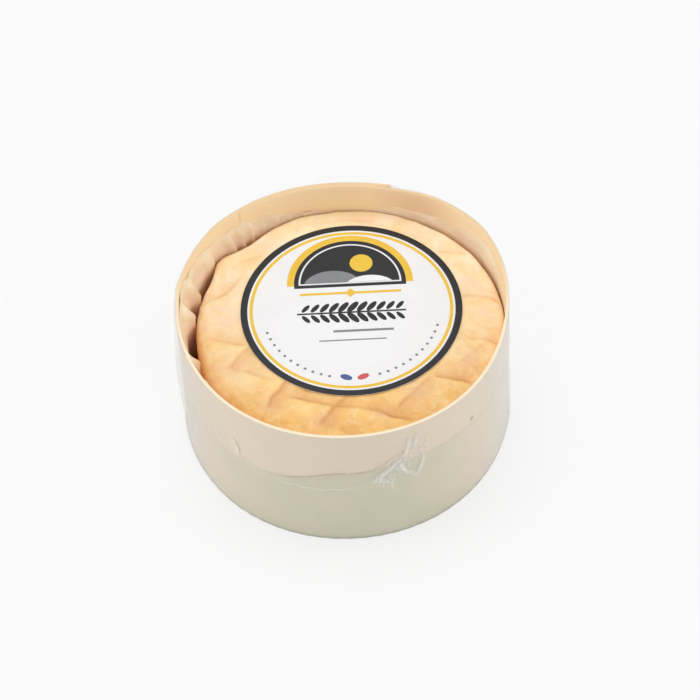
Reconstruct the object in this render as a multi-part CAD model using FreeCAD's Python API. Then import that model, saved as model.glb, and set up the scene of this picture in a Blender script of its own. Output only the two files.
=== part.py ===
"""Washed-rind cheese in its round veneer box, with its pleated paper cup, label and clear wrap.

The box stands on the plane z = 0 with the centre of its base at the origin. +Z is up, and the front,
towards which the label reads, is -Y. Lengths are in millimetres and angles in degrees, counted
counter-clockwise from +X as seen from above.
"""
import FreeCAD
import Part
import math
import os

Vector = FreeCAD.Vector

# Veneer hoop: one strip, bent round and lapped over itself
BOX_RADIUS = 49.8           # outside of the hoop at its rim
BOX_HEIGHT = 50.0
VENEER = 0.9
FOOT_FLARE = 0.8            # how much wider the hoop is at its foot than at its rim
HOOP_WAVES = ((2, 0.20, 41), (3, 0.60, 33), (4, 0.46, 41), (5, 0.12, 30))   # lobes, depth, direction
HOOP_CORNERS = ((32, 0.3, 7), (139, 0.3, 5), (169, 0.4, 5))     # blunt bends: direction, height, spread
FOOT_WAVES = 0.26           # share of the waves left at the foot, where the base keeps it round
SEAM = 70.4                 # where the strip's outer end stops, as a step in the rim
LAP = 58                    # arc over which the strip lies double
LAP_EASE = 20               # arc over which the inner layer comes out to the single wall
LAP_GAP = 0.15              # glue line between the two layers
SKIVED = 0.3               # thickness left at the strip's inner end, which is pared down
SKIVE = 12                  # arc over which it is pared

# Base: a thin wooden disc inside the hoop's foot
BASE_THICKNESS = 2.0
BASE_PLAY = 0.1

# Cheese
CHEESE_CENTRE = Vector(1.4, -0.3, 0)
CHEESE_RADIUS = 45.8
CHEESE_BUMPS = ((55, -0.3, 14), (128, -0.6, 9), (143, 2.3, 8), (187, -0.8, 16))     # as HOOP_CORNERS
CHEESE_TOP = 39.5
SHOULDER = 3.2              # mean radius of the rounded top edge
SHOULDER_LEAN = (1.6, 225)  # how much more it is rounded towards one side, and that direction
HEEL = 4.0                  # radius of the rounded bottom edge
BULGE = 0.3                 # how far the side swells below the top edge
BULGE_PLACE = 0.35          # height of the swell as a share of the side's
DOME = 0.6                  # fall of the top from the label to the shoulder

# Label on the cheese
LABEL_CENTRE = Vector(2.45, 6.2, 0)
LABEL_RADIUS = 33.5
LABEL_THICKNESS = 0.3

# Pleated paper cup round the cheese
PAPER = 0.2
PAPER_PLAY = 0.12
PLEATS = 44
CUP_LOW = 39.4              # top edge where the cheese presses the cup against the wall
CUP_HIGH = 47.4             # top edge where the frill stands free
FRILL = (165, 40)           # direction and spread of the high frill

# Clear wrap on the outside of the box
FILM = 0.25
FILM_PLAY = 0.1
LOOSE_FILM = ((185, 20, 0.6, 1.5), (352, 9, 0.0, 0.5))   # direction, spread, stand-off at rim, at foot


def polar(angle, radius, z=0.0, centre=Vector(0, 0, 0)):
    turn = math.radians(angle)
    return Vector(centre.x + radius * math.cos(turn), centre.y + radius * math.sin(turn), z)


def ease(share):
    """Rises smoothly from 0 to 1 as share goes from 0 to 1."""
    share = min(max(share, 0.0), 1.0)
    return share * share * (3 - 2 * share)


def bump(angle, direction, spread):
    """A smooth hill round the circle, 1 at its direction."""
    away = (angle - direction + 180) % 360 - 180
    return math.exp(-(away / spread) ** 2)


def bumps(angle, table):
    return sum(height * bump(angle, direction, spread) for direction, height, spread in table)


def waves(angle, table):
    return sum(depth * math.cos(math.radians(lobes * (angle - turn))) for lobes, depth, turn in table)


def smooth_edge(points, closed=False):
    curve = Part.BSplineCurve()
    curve.interpolate(Points=points, PeriodicFlag=closed)
    return curve.toShape()


def sewn_solid(faces):
    shell = Part.Shell(faces)
    shell.sewShape()
    solid = Part.Solid(shell)
    if solid.Volume < 0:
        solid.reverse()
    return solid


# Hoop

def hoop_outside(angle, z):
    """Radius of the hoop's outer face, before the lap is taken in."""
    up = z / BOX_HEIGHT
    uneven = waves(angle, HOOP_WAVES) + bumps(angle, HOOP_CORNERS)
    return BOX_RADIUS + FOOT_FLARE * (1 - up) + uneven * (FOOT_WAVES + (1 - FOOT_WAVES) * up)


def lap_inset(along):
    """How far the strip lies inside the single wall, at an angle along it from its inner end."""
    return (VENEER + LAP_GAP) * (1 - ease((along - LAP) / LAP_EASE))


def strip_angle(along):
    """Direction of a place on the strip, which runs clockwise from its inner end."""
    return SEAM + LAP - along


def strip_radius(along, z, inner=True):
    """Radius of the strip's inner or outer face."""
    thickness = SKIVED + (VENEER - SKIVED) * ease(along / SKIVE)
    return hoop_outside(strip_angle(along), z) - lap_inset(along) - (thickness if inner else 0)


def hoop():
    """The strip in short spans, each ruled between the curves of its four long edges."""
    spans, span_steps = 18, 8
    steps = spans * span_steps
    turn = 360 + LAP
    places = [turn * i / steps for i in range(steps + 1)]

    def edge(z, inner):
        points = [polar(strip_angle(along), strip_radius(along, z, inner), z) for along in places]
        curve = Part.BSplineCurve()
        curve.interpolate(Points=points, Parameters=list(range(steps + 1)))
        cuts = range(0, steps, span_steps)
        return [curve.toShape(cut, cut + span_steps) for cut in cuts], points[0], points[-1]

    corners = [edge(0, False), edge(BOX_HEIGHT, False), edge(BOX_HEIGHT, True), edge(0, True)]
    faces = []
    for here, after in zip(corners, corners[1:] + corners[:1]):
        faces += [Part.makeRuledSurface(*pair) for pair in zip(here[0], after[0])]
    for end in (1, 2):
        outline = [corner[end] for corner in corners]
        faces.append(Part.Face(Part.makePolygon(outline + outline[:1])))
    return sewn_solid(faces)


# Base

def base_disc():
    """A disc that fills the hoop's foot, with a step where the strip's inner end stands."""
    notch = 0.4
    places = [-notch] + [4 * i for i in range(90)] + [360 - notch]

    def radius(along):
        return min(strip_radius(max(along, 0), z) for z in (0, BASE_THICKNESS)) - BASE_PLAY

    points = [polar(strip_angle(along), radius(along)) for along in places]
    rim = [smooth_edge(points), Part.makeLine(points[-1], points[0])]
    return Part.Face(Part.Wire(rim)).extrude(Vector(0, 0, BASE_THICKNESS))


# Cheese

def cheese_outline(angle):
    """Radius of the cheese's widest outline about its own centre."""
    return CHEESE_RADIUS + BULGE + bumps(angle, CHEESE_BUMPS)


def shoulder(angle):
    more, direction = SHOULDER_LEAN
    return SHOULDER + more * math.cos(math.radians(angle - direction))


def cheese():
    steps = 90
    bottom = BASE_THICKNESS + PAPER + 2 * PAPER_PLAY
    angles = [360 * i / steps for i in range(steps)]

    def outline(angle, inset, z):
        return polar(angle, cheese_outline(angle) - BULGE - inset, z, CHEESE_CENTRE)

    def ring(points):
        return Part.Wire(smooth_edge(points, closed=True))

    def top_ring(share):
        """From the flat under the label, share 0, out to the start of the shoulder, share 1."""
        points = []
        for angle in angles:
            inner = polar(angle, LABEL_RADIUS + 0.4, 0, LABEL_CENTRE)
            outer = outline(angle, shoulder(angle), 0)
            point = inner + (outer - inner) * share
            point.z = CHEESE_TOP - DOME * share ** 2
            points.append(point)
        return ring(points)

    def shoulder_ring(turn):
        """Round the top edge: turn 0 is level with the top, and 90 is on the side."""
        bend = math.radians(turn)
        points = []
        for angle in angles:
            radius = shoulder(angle)
            drop = DOME + radius * (1 - math.cos(bend))
            points.append(outline(angle, radius * (1 - math.sin(bend)), CHEESE_TOP - drop))
        return ring(points)

    def side_ring(share):
        """Down the side, from the shoulder, share 1, to the heel, share 0."""
        low = bottom + HEEL
        rise = min(share / (2 * BULGE_PLACE), (1 - share) / (2 - 2 * BULGE_PLACE))
        swell = BULGE * math.sin(math.pi * rise)
        points = []
        for angle in angles:
            high = CHEESE_TOP - DOME - shoulder(angle)
            points.append(outline(angle, -swell, low + (high - low) * share))
        return ring(points)

    def heel_ring(turn):
        bend = math.radians(turn)
        inset = HEEL * (1 - math.cos(bend))
        return ring([outline(angle, inset, bottom + HEEL * (1 - math.sin(bend))) for angle in angles])

    rings = [top_ring(share) for share in (0, 0.34, 0.67, 1)]
    rings += [shoulder_ring(turn) for turn in (20, 42, 66, 90)]
    rings += [side_ring(share) for share in (0.75, 0.5, 0.25, 0)]
    rings += [heel_ring(turn) for turn in (30, 60, 90)]
    return Part.makeLoft(rings, True, False)


# Label

def label():
    foot = Vector(LABEL_CENTRE.x, LABEL_CENTRE.y, CHEESE_TOP)
    return Part.makeCylinder(LABEL_RADIUS, LABEL_THICKNESS, foot)


# Paper cup

def wall_reach(angle, z):
    """Distance from the cheese's centre to the box's inner face, out along an angle."""
    reach = BOX_RADIUS
    for _ in range(6):
        point = polar(angle, reach, 0, CHEESE_CENTRE)
        around = math.degrees(math.atan2(point.y, point.x))
        along = (strip_angle(0) - around) % 360
        reach += strip_radius(along, z) - math.hypot(point.x, point.y)
    return reach


def cup_room(angle):
    """The least and most radius, about the cheese's centre, between the cheese and the box."""
    inner = cheese_outline(angle) + PAPER_PLAY
    outer = min(wall_reach(angle + side, z) for z in (0, CUP_HIGH) for side in (-1.5, 0, 1.5)) - PAPER_PLAY
    return inner, max(outer, inner + PAPER)


def cup_top(angle):
    return CUP_LOW + (CUP_HIGH - CUP_LOW) * bump(angle, *FRILL)


def paper_cup():
    """Flat pleats between sharp folds, which reach the cheese and the box by turns, and a flat floor."""
    folds = 2 * PLEATS
    floor = BASE_THICKNESS + PAPER_PLAY

    def fold(number, outside, height):
        angle = 360 * number / folds
        inner, outer = cup_room(angle)
        radius = (outer - PAPER if number % 2 else inner) + (PAPER if outside else 0)
        return polar(angle, radius, cup_top(angle) if height is None else height, CHEESE_CENTRE)

    def ring(outside, height=None):
        return [fold(number, outside, height) for number in range(folds + 1)]

    def facet(*points):
        return Part.Face(Part.makePolygon(list(points) + [points[0]]))

    out_low, out_top = ring(True, floor), ring(True)
    in_low, in_top = ring(False, floor + PAPER), ring(False)
    out_low[-1], out_top[-1], in_low[-1], in_top[-1] = out_low[0], out_top[0], in_low[0], in_top[0]
    faces = [Part.Face(Part.makePolygon(out_low)), Part.Face(Part.makePolygon(in_low))]
    for i in range(folds):
        faces.append(facet(out_low[i], out_low[i + 1], out_top[i + 1], out_top[i]))
        faces.append(facet(in_low[i], in_low[i + 1], in_top[i + 1], in_top[i]))
        faces.append(facet(out_top[i], out_top[i + 1], in_top[i + 1]))
        faces.append(facet(out_top[i], in_top[i + 1], in_top[i]))
    return sewn_solid(faces)


# Clear wrap

def film():
    """A thin skin on the hoop's outside from its foot to its rim, loose in two places."""
    angles = [3 * i for i in range(120)]

    def edge(top, depth):
        z = BOX_HEIGHT if top else 0.0
        points = []
        for angle in angles:
            loose = sum(bump(angle, direction, spread) * (at_rim if top else at_foot)
                        for direction, spread, at_rim, at_foot in LOOSE_FILM)
            points.append(polar(angle, hoop_outside(angle, z) + FILM_PLAY + loose + depth, z))
        return smooth_edge(points, closed=True)

    corners = [edge(False, 0), edge(False, FILM), edge(True, FILM), edge(True, 0)]
    return sewn_solid([Part.makeRuledSurface(here, after)
                       for here, after in zip(corners, corners[1:] + corners[:1])])


nodes = {
    "veneer_hoop": hoop(),
    "base_disc": base_disc(),
    "paper_cup": paper_cup(),
    "cheese": cheese(),
    "label": label(),
    "film_wrap": film(),
}

os.makedirs("parts", exist_ok=True)
for name, shape in nodes.items():
    shape.exportStep("parts/" + name + ".step")
    box = shape.BoundBox
    print(f"{name:12s} {shape.ShapeType} valid {shape.isValid()} {shape.Volume / 1000:8.2f} cm3 "
          f"x {box.XMin:.2f} {box.XMax:.2f}  y {box.YMin:.2f} {box.YMax:.2f}  "
          f"z {box.ZMin:.2f} {box.ZMax:.2f}")
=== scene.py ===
# %% [markdown]
# # A washed-rind cheese in its veneer box
# A small soft cheese sits in a pleated paper cup, inside a box bent from one strip of poplar veneer.
# A round paper label lies on the cheese, and clear shrink wrap covers the outside of the box.
# The construction model comes first, as a fixed frame: every piece below is made at its place in it.

# %% Load the frame
import bpy
import math
import random
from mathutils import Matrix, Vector, noise


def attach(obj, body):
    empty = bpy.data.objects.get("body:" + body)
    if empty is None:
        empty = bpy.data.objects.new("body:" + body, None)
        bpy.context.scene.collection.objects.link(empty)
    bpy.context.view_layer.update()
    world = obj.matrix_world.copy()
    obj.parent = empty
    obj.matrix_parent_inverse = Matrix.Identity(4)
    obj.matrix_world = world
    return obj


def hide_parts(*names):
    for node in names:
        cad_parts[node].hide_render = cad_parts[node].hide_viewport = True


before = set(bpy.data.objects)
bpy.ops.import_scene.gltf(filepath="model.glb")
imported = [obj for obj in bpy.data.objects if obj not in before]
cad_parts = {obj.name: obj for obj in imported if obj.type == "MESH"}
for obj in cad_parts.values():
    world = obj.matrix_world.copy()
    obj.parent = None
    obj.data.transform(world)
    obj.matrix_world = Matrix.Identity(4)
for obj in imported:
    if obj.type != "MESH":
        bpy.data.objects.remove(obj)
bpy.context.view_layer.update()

MM = 0.001

# %% [markdown]
# ## Measures
# The box was bent by hand, so it is not quite round: a few low waves, strongest at the rim, say how
# it differs from a circle. The same numbers shape the hoop, the wrap around it and the cup inside it,
# so that the pieces nest as they do on the real box. Angles are in degrees from +X, seen from above.

# %% Measures of the box
# A wave is (lobes, depth in mm, direction) and a blunt bend is (direction, height in mm, spread).
# The strip ends at SEAM on the outside, laps over itself for LAP degrees, and the step where the
# single wall starts is eased over LAP_EASE. Its inner end is pared down over SKIVE degrees.
BOX_HIGH = 50.0 * MM
BOX_RADIUS = 49.8 * MM
VENEER = 0.9 * MM
FLARE = 0.8 * MM
BOX_WAVES = ((2, 0.20, 41), (3, 0.60, 33), (4, 0.46, 41), (5, 0.12, 30))
BOX_BENDS = ((32, 0.3, 7), (139, 0.3, 5), (169, 0.4, 5))
FOOT_WAVES = 0.26
SEAM, LAP, LAP_EASE = 70.4, 58, 20
LAP_INSET = 0.94 * MM
SKIVED, SKIVE = 0.1 * MM, 14


def ease(share):
    """Rises smoothly from 0 to 1 as share goes from 0 to 1."""
    share = min(max(share, 0.0), 1.0)
    return share * share * (3 - 2 * share)


def turn_from(angle, direction):
    """Signed angle from a direction, between -180 and 180."""
    return (angle - direction + 180) % 360 - 180


def bump(angle, direction, spread):
    """A smooth hill round the circle, 1 at its direction."""
    return math.exp(-(turn_from(angle, direction) / spread) ** 2)


def waves(angle, table):
    """Sum of a few cosine waves round the circle, in metres."""
    return MM * sum(depth * math.cos(math.radians(lobes * (angle - turn))) for lobes, depth, turn in table)


def box_outside(angle, z):
    """Radius of the hoop's outer face, before the lap is taken in."""
    up = z / BOX_HIGH
    bends = MM * sum(high * bump(angle, turn, wide) for turn, high, wide in BOX_BENDS)
    uneven = waves(angle, BOX_WAVES) + bends
    return BOX_RADIUS + FLARE * (1 - up) + uneven * (FOOT_WAVES + (1 - FOOT_WAVES) * up)


def lap_inset(along):
    """How far the strip lies inside the single wall, at an angle along it from its inner end."""
    return LAP_INSET * (1 - ease((along - LAP) / LAP_EASE))


def strip_angle(along):
    """Direction of a place on the strip, which runs clockwise from its inner end."""
    return SEAM + LAP - along


def strip_thickness(along):
    """The strip is pared down at its inner end."""
    return SKIVED + (VENEER - SKIVED) * ease(along / SKIVE)


def box_inside(angle, z):
    """Radius of the box's inner face."""
    along = (strip_angle(0) - angle) % 360
    return box_outside(angle, z) - lap_inset(along) - strip_thickness(along)


print("rim", round(2 * BOX_RADIUS / MM, 1), "mm across, foot", round(2 * (BOX_RADIUS + FLARE) / MM, 1), "mm")

# %% [markdown]
# ## Tools used all the way through
# An operator acts on everything that is selected, so each piece starts from an empty selection.
# Thin walls here start as a chain of edges, extruded vertex by vertex, which is then spun round Z.
# Uneven shapes are pushed into place: each vertex gets a weight, and a Displace modifier moves it
# by that weight along one axis. It is what a sculptor's brush does, but it can be repeated.

# %% Selecting and naming
def deselect():
    """Leaves edit mode and selects nothing."""
    if bpy.context.object and bpy.context.object.mode != "OBJECT":
        bpy.ops.object.mode_set(mode="OBJECT")
    bpy.ops.object.select_all(action="DESELECT")


def only(piece):
    """Makes piece the one selected and active object."""
    deselect()
    piece.select_set(True)
    bpy.context.view_layer.objects.active = piece


def edit(piece, choose=None):
    """Enters edit mode with the faces selected for which choose(face) is true, or everything."""
    only(piece)
    bpy.ops.object.mode_set(mode="EDIT")
    bpy.ops.mesh.select_mode(type="FACE")
    bpy.ops.mesh.select_all(action="SELECT" if choose is None else "DESELECT")
    if choose:
        bpy.ops.object.mode_set(mode="OBJECT")
        for face in piece.data.polygons:
            face.select = choose(face)
        bpy.ops.object.mode_set(mode="EDIT")


def named(name):
    """Names the object that an operator has just made."""
    piece = bpy.context.object
    piece.name = name
    piece.data.name = name
    return piece


def apply_modifiers(piece):
    only(piece)
    for modifier in list(piece.modifiers):
        bpy.ops.object.modifier_apply(modifier=modifier.name)


def add_modifier(piece, kind, **settings):
    modifier = piece.modifiers.new(kind.title(), kind)
    for key, value in settings.items():
        setattr(modifier, key, value)
    return modifier


# %% Spun walls
def spun_wall(name, profile, sweeps):
    """Extrudes a chain of edges through the profile's places and spins it round Z, sweep after sweep."""
    deselect()
    bpy.ops.mesh.primitive_plane_add(size=MM)
    piece = named(name)
    bpy.ops.object.mode_set(mode="EDIT")
    bpy.ops.mesh.select_mode(type="VERT")
    bpy.ops.mesh.select_all(action="SELECT")
    bpy.ops.mesh.merge(type="CENTER")
    bpy.ops.transform.translate(value=profile[0])
    for here, there in zip(profile, profile[1:]):
        bpy.ops.mesh.extrude_vertices_move(TRANSFORM_OT_translate={"value": there - here})
    bpy.ops.mesh.select_all(action="SELECT")
    for angle, steps in sweeps:
        bpy.ops.mesh.spin(steps=steps, angle=-math.radians(angle), center=(0, 0, 0), axis=(0, 0, 1))
    bpy.ops.object.mode_set(mode="OBJECT")
    return piece


def close_wall(piece):
    """Joins the last spun column to the first and turns the faces outwards."""
    edit(piece)
    bpy.ops.mesh.remove_doubles(threshold=0.02 * MM)
    bpy.ops.mesh.normals_make_consistent(inside=False)
    bpy.ops.object.mode_set(mode="OBJECT")


# %% Pushing vertices into place
def push(piece, move):
    """Moves every vertex by move(vertex) with weighted Displace modifiers, one axis at a time."""
    only(piece)
    steps = [move(vertex) for vertex in piece.data.vertices]
    reach = max(max(abs(value) for value in step) for step in steps) or MM
    for axis, direction in enumerate("XYZ"):
        group = piece.vertex_groups.new(name="push " + direction)
        for index, step in enumerate(steps):
            group.add([index], 0.5 + step[axis] / (2 * reach), "REPLACE")
        add_modifier(piece, "DISPLACE", direction=direction, mid_level=0, strength=2 * reach,
                     vertex_group=group.name)
        add_modifier(piece, "DISPLACE", direction=direction, mid_level=0, strength=-reach)
    apply_modifiers(piece)
    piece.vertex_groups.clear()


def paint(piece, name, value):
    """Stores value(vertex), from 0 to 1, on the mesh for a material to read."""
    layer = piece.data.attributes.new(name, "FLOAT", "POINT")
    layer.data.foreach_set("value", [value(vertex) for vertex in piece.data.vertices])


def place_of(vertex):
    """Angle in degrees, radius and height of a vertex."""
    co = vertex.co
    return math.degrees(math.atan2(co.y, co.x)) % 360, math.hypot(co.x, co.y), co.z


def polar(angle, radius, z):
    turn = math.radians(angle)
    return Vector((radius * math.cos(turn), radius * math.sin(turn), z))


FLAT = Vector((1, 1, 0))


def rows(low, high, count):
    """Even steps from low to high, both ends included."""
    return [low + (high - low) * i / count for i in range(count + 1)]


print("tools ready")

# %% [markdown]
# ## Node tools and shared effects
# Three effects are used by more than one material, so each is a node group, built once: wood grain,
# the cloudy mottling of rind and paper, and the fine fibres of paper. A group gives only
# values that change over the surface. The Principled shader itself stays in each material.

# %% Node tools
def colour(red, green, blue):
    """A display colour from 0 to 255 as the linear values that a shader takes."""
    def linear(value):
        value /= 255
        return value / 12.92 if value <= 0.04045 else ((value + 0.055) / 1.055) ** 2.4
    return linear(red), linear(green), linear(blue), 1.0


def add_node(tree, kind, inputs=(), **settings):
    """Adds a node. inputs maps socket names or numbers to values, or to the sockets that feed them."""
    made = tree.nodes.new("ShaderNode" + kind)
    for key, value in settings.items():
        setattr(made, key, value)
    for key, value in dict(inputs).items():
        if isinstance(value, bpy.types.NodeSocket):
            tree.links.new(value, made.inputs[key])
        else:
            made.inputs[key].default_value = value
    return made


def noise_of(tree, vector, scale, detail=3.0, roughness=0.5, distortion=0.0):
    made = add_node(tree, "TexNoise", {"Vector": vector, "Scale": scale, "Detail": detail,
                                       "Roughness": roughness, "Distortion": distortion})
    return made.outputs[0]


def stretched(tree, vector, scale, offset=(0, 0, 0)):
    return add_node(tree, "Mapping", {"Vector": vector, "Scale": scale, "Location": offset}).outputs[0]


def ranged(tree, value, low, high, to_low=0.0, to_high=1.0):
    """Maps low..high to to_low..to_high, held at both ends."""
    made = add_node(tree, "MapRange", {"Value": value, "From Min": low, "From Max": high,
                                       "To Min": to_low, "To Max": to_high})
    return made.outputs[0]


def sums(tree, operation, first, second):
    return add_node(tree, "Math", {0: first, 1: second}, operation=operation).outputs[0]


def mixed(tree, share, first, second, kind="MIX"):
    """Mixes two colours by a share from 0 to 1."""
    made = add_node(tree, "Mix", {0: share, 6: first, 7: second}, data_type="RGBA", blend_type=kind)
    return made.outputs[2]


def painted(tree, name):
    return add_node(tree, "Attribute", attribute_name=name).outputs["Fac"]


def new_group(name, outputs, inputs=()):
    """A shader node group that takes a Vector and named values."""
    group = bpy.data.node_groups.new(name, "ShaderNodeTree")
    group.interface.new_socket("Vector", in_out="INPUT", socket_type="NodeSocketVector")
    for socket, value in inputs:
        made = group.interface.new_socket(socket, in_out="INPUT", socket_type="NodeSocketFloat")
        made.default_value = value
    for socket in outputs:
        group.interface.new_socket(socket, in_out="OUTPUT", socket_type="NodeSocketFloat")
    return group, group.nodes.new("NodeGroupInput").outputs, group.nodes.new("NodeGroupOutput").inputs


def use_group(tree, group, vector, **inputs):
    made = tree.nodes.new("ShaderNodeGroup")
    made.node_tree = group
    tree.links.new(vector, made.inputs["Vector"])
    for key, value in inputs.items():
        made.inputs[key].default_value = value
    return made.outputs


def new_material(name, **plain):
    """A material with its Principled shader, whose plain values are set by name."""
    material = bpy.data.materials.new(name)
    material.use_nodes = True
    shader = material.node_tree.nodes["Principled BSDF"]
    for key, value in plain.items():
        shader.inputs[key.replace("_", " ").title().replace("Ior", "IOR")].default_value = value
    return material, material.node_tree, shader.inputs


def bumped(tree, height, strength, distance):
    return add_node(tree, "Bump", {"Height": height, "Strength": strength, "Distance": distance}).outputs[0]


# %% Wood grain
# X runs along the grain and Y across it, in metres.
grain, given, give = new_group("wood grain", ("Tone", "Line", "Height"))
slow = noise_of(grain, stretched(grain, given["Vector"], (9, 160, 1)), 1, 3, 0.55, 0.3)
fine = noise_of(grain, stretched(grain, given["Vector"], (38, 2600, 1)), 1, 4, 0.65)
pores = noise_of(grain, stretched(grain, given["Vector"], (150, 5200, 1), (3, 1, 0)), 1, 2, 0.6)
grain.links.new(sums(grain, "ADD", sums(grain, "MULTIPLY", slow, 0.6), sums(grain, "MULTIPLY", fine, 0.4)),
                give["Tone"])
grain.links.new(ranged(grain, pores, 0.62, 0.78), give["Line"])
grain.links.new(sums(grain, "SUBTRACT", fine, sums(grain, "MULTIPLY", ranged(grain, pores, 0.6, 0.8), 0.6)),
                give["Height"])
print("wood grain ready")

# %% Mottling
mottle, given, give = new_group("mottling", ("Clouds", "Specks"), (("Scale", 100.0),))
clouds = add_node(mottle, "TexNoise", {"Vector": given["Vector"], "Scale": given["Scale"], "Detail": 4.0,
                                       "Roughness": 0.6, "Distortion": 0.4}).outputs[0]
finer = sums(mottle, "MULTIPLY", given["Scale"], 5.3)
specks = add_node(mottle, "TexNoise", {"Vector": given["Vector"], "Scale": finer, "Detail": 3.0,
                                       "Roughness": 0.7}).outputs[0]
mottle.links.new(ranged(mottle, clouds, 0.32, 0.68), give["Clouds"])
mottle.links.new(ranged(mottle, specks, 0.35, 0.65), give["Specks"])
print("mottling ready")

# %% Paper fibres
fibres, given, give = new_group("paper fibres", ("Fibre",))
mesh_of_fibres = noise_of(fibres, stretched(fibres, given["Vector"], (1500, 900, 1500)), 1, 4, 0.7, 0.5)
fibres.links.new(ranged(fibres, mesh_of_fibres, 0.3, 0.7), give["Fibre"])
print("node groups:", [group.name for group in bpy.data.node_groups])

# %% [markdown]
# ## The camera, the floor and the light
# The camera looks down at the box at about 50 degrees from the front, through a long lens, and is
# turned a little about its own axis. The light is a pale even room with four large soft lamps: one
# above and behind, one in front and one at each side, so that the wood, the rind and the clear wrap
# are all seen without hard shadows. The floor looks white to the camera but still takes the box's
# shadow.

# %% Camera
VIEW_ELEVATION, VIEW_ROLL, VIEW_DISTANCE = 49.71, 2.73, 0.600
LENS = 104.3
AIM_RIGHT, AIM_DOWN = 2.1 * MM, 14.2 * MM

deselect()
rim_centre = Vector((0, 0, BOX_HIGH))
slope = math.radians(VIEW_ELEVATION)
towards_camera = Vector((0, -math.cos(slope), math.sin(slope)))
screen_up = Vector((0, math.sin(slope), math.cos(slope)))
bpy.ops.object.camera_add(location=rim_centre + towards_camera * VIEW_DISTANCE)
camera = bpy.context.object
camera.name = "camera"
camera.data.lens = LENS
camera.data.clip_start = 0.01
roll = math.radians(VIEW_ROLL)
image_right = Vector((math.cos(roll), 0, 0)) - screen_up * math.sin(roll)
image_up = screen_up * math.cos(roll) + Vector((math.sin(roll), 0, 0))
aim = rim_centre + image_right * AIM_RIGHT - image_up * AIM_DOWN
forward = (aim - camera.location).normalized()
side_axis = forward.cross(image_up).normalized()
up_axis = side_axis.cross(forward)
camera.matrix_world = camera.matrix_world.__class__((
    (side_axis.x, up_axis.x, -forward.x, camera.location.x),
    (side_axis.y, up_axis.y, -forward.y, camera.location.y),
    (side_axis.z, up_axis.z, -forward.z, camera.location.z),
    (0, 0, 0, 1)))
bpy.context.scene.camera = camera
print("camera at", [round(value, 3) for value in camera.location])

# %% Floor and room
ROOM_LIGHT = 0.62
FLOOR_GREY = 0.80
FLOOR_GLOW = 0.72

deselect()
bpy.ops.mesh.primitive_plane_add(size=6, location=(0, 0, 0))
floor = named("floor")
material, tree, shader = new_material("white floor", roughness=1.0, specular_ior_level=0.0)
rays = add_node(tree, "LightPath").outputs
seen = sums(tree, "MAXIMUM", rays["Is Camera Ray"], sums(tree, "MAXIMUM", rays["Is Glossy Ray"],
                                                        rays["Is Transmission Ray"]))
shader["Base Color"].default_value = (FLOOR_GREY, FLOOR_GREY, FLOOR_GREY, 1)
shader["Emission Color"].default_value = (1, 1, 1, 1)
glow = add_node(tree, "Emission", {"Color": (1, 1, 1, 1), "Strength": 1.0})
share = add_node(tree, "MixShader", {0: sums(tree, "MULTIPLY", seen, FLOOR_GLOW)})
tree.links.new(tree.nodes["Principled BSDF"].outputs[0], share.inputs[1])
tree.links.new(glow.outputs[0], share.inputs[2])
tree.links.new(share.outputs[0], tree.nodes["Material Output"].inputs[0])
floor.data.materials.append(material)

world = bpy.data.worlds.new("pale room")
bpy.context.scene.world = world
world.use_nodes = True
tree = world.node_tree
rays = add_node(tree, "LightPath").outputs
seen = sums(tree, "MAXIMUM", rays["Is Camera Ray"], rays["Is Transmission Ray"])
tree.nodes["Background"].inputs["Color"].default_value = (1, 1, 1, 1)
tree.links.new(ranged(tree, seen, 0, 1, ROOM_LIGHT, 1.0), tree.nodes["Background"].inputs["Strength"])
print("room", ROOM_LIGHT)


# %% Lamps
def soft_lamp(name, place, size, power):
    """A round soft lamp that points at the box."""
    deselect()
    bpy.ops.object.light_add(type="AREA", location=place)
    lamp = bpy.context.object
    lamp.name = name
    lamp.data.shape = "DISK"
    lamp.data.size = size
    lamp.data.energy = power
    lamp.rotation_euler = (Vector((0, 0, 0.03)) - lamp.location).to_track_quat("-Z", "Y").to_euler()
    print(name, power, "W")


soft_lamp("top lamp", (-0.10, 0.25, 1.1), 0.6, 3.2)
soft_lamp("front lamp", (0.15, -0.95, 0.75), 0.8, 1.9)
soft_lamp("left lamp", (-1.0, -0.05, 0.45), 0.7, 2.8)
soft_lamp("right lamp", (1.0, 0.05, 0.45), 0.7, 2.8)
bpy.context.scene.view_settings.view_transform = "Standard"

# %% [markdown]
# ## The veneer hoop
# The real hoop is one long strip of peeled poplar, bent round and glued where it laps over itself.
# A cylinder would have no lap, so a vertical chain is spun past a full turn, and each column knows
# how far along the strip it stands. The strip's first stretch is taken in under its last one, whose
# end shows as a step at the back of the rim. Thickness and a small bevel come last: Solidify reads a
# vertex group, so that the strip can be pared thin at its inner end.

# %% Hoop
HOOP_FOOT = 0.3 * MM
HOOP_COLUMNS = 418
END_SPRING = 0.3 * MM
ROUGH_EDGE = 0.07 * MM
hoop_rows = rows(HOOP_FOOT, BOX_HIGH, 20)
start = polar(strip_angle(0), BOX_RADIUS, 0)
hoop = spun_wall("veneer_hoop_wood", [start + Vector((0, 0, z)) for z in hoop_rows],
                 [(-360 - LAP, HOOP_COLUMNS)])
along_of = [(index // len(hoop_rows)) * (360 + LAP) / HOOP_COLUMNS
            for index in range(len(hoop.data.vertices))]
worst = max(abs(turn_from(place_of(vertex)[0], strip_angle(along_of[vertex.index])))
            for vertex in hoop.data.vertices)
print("hoop columns follow the strip within", round(worst, 3), "degrees")


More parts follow.
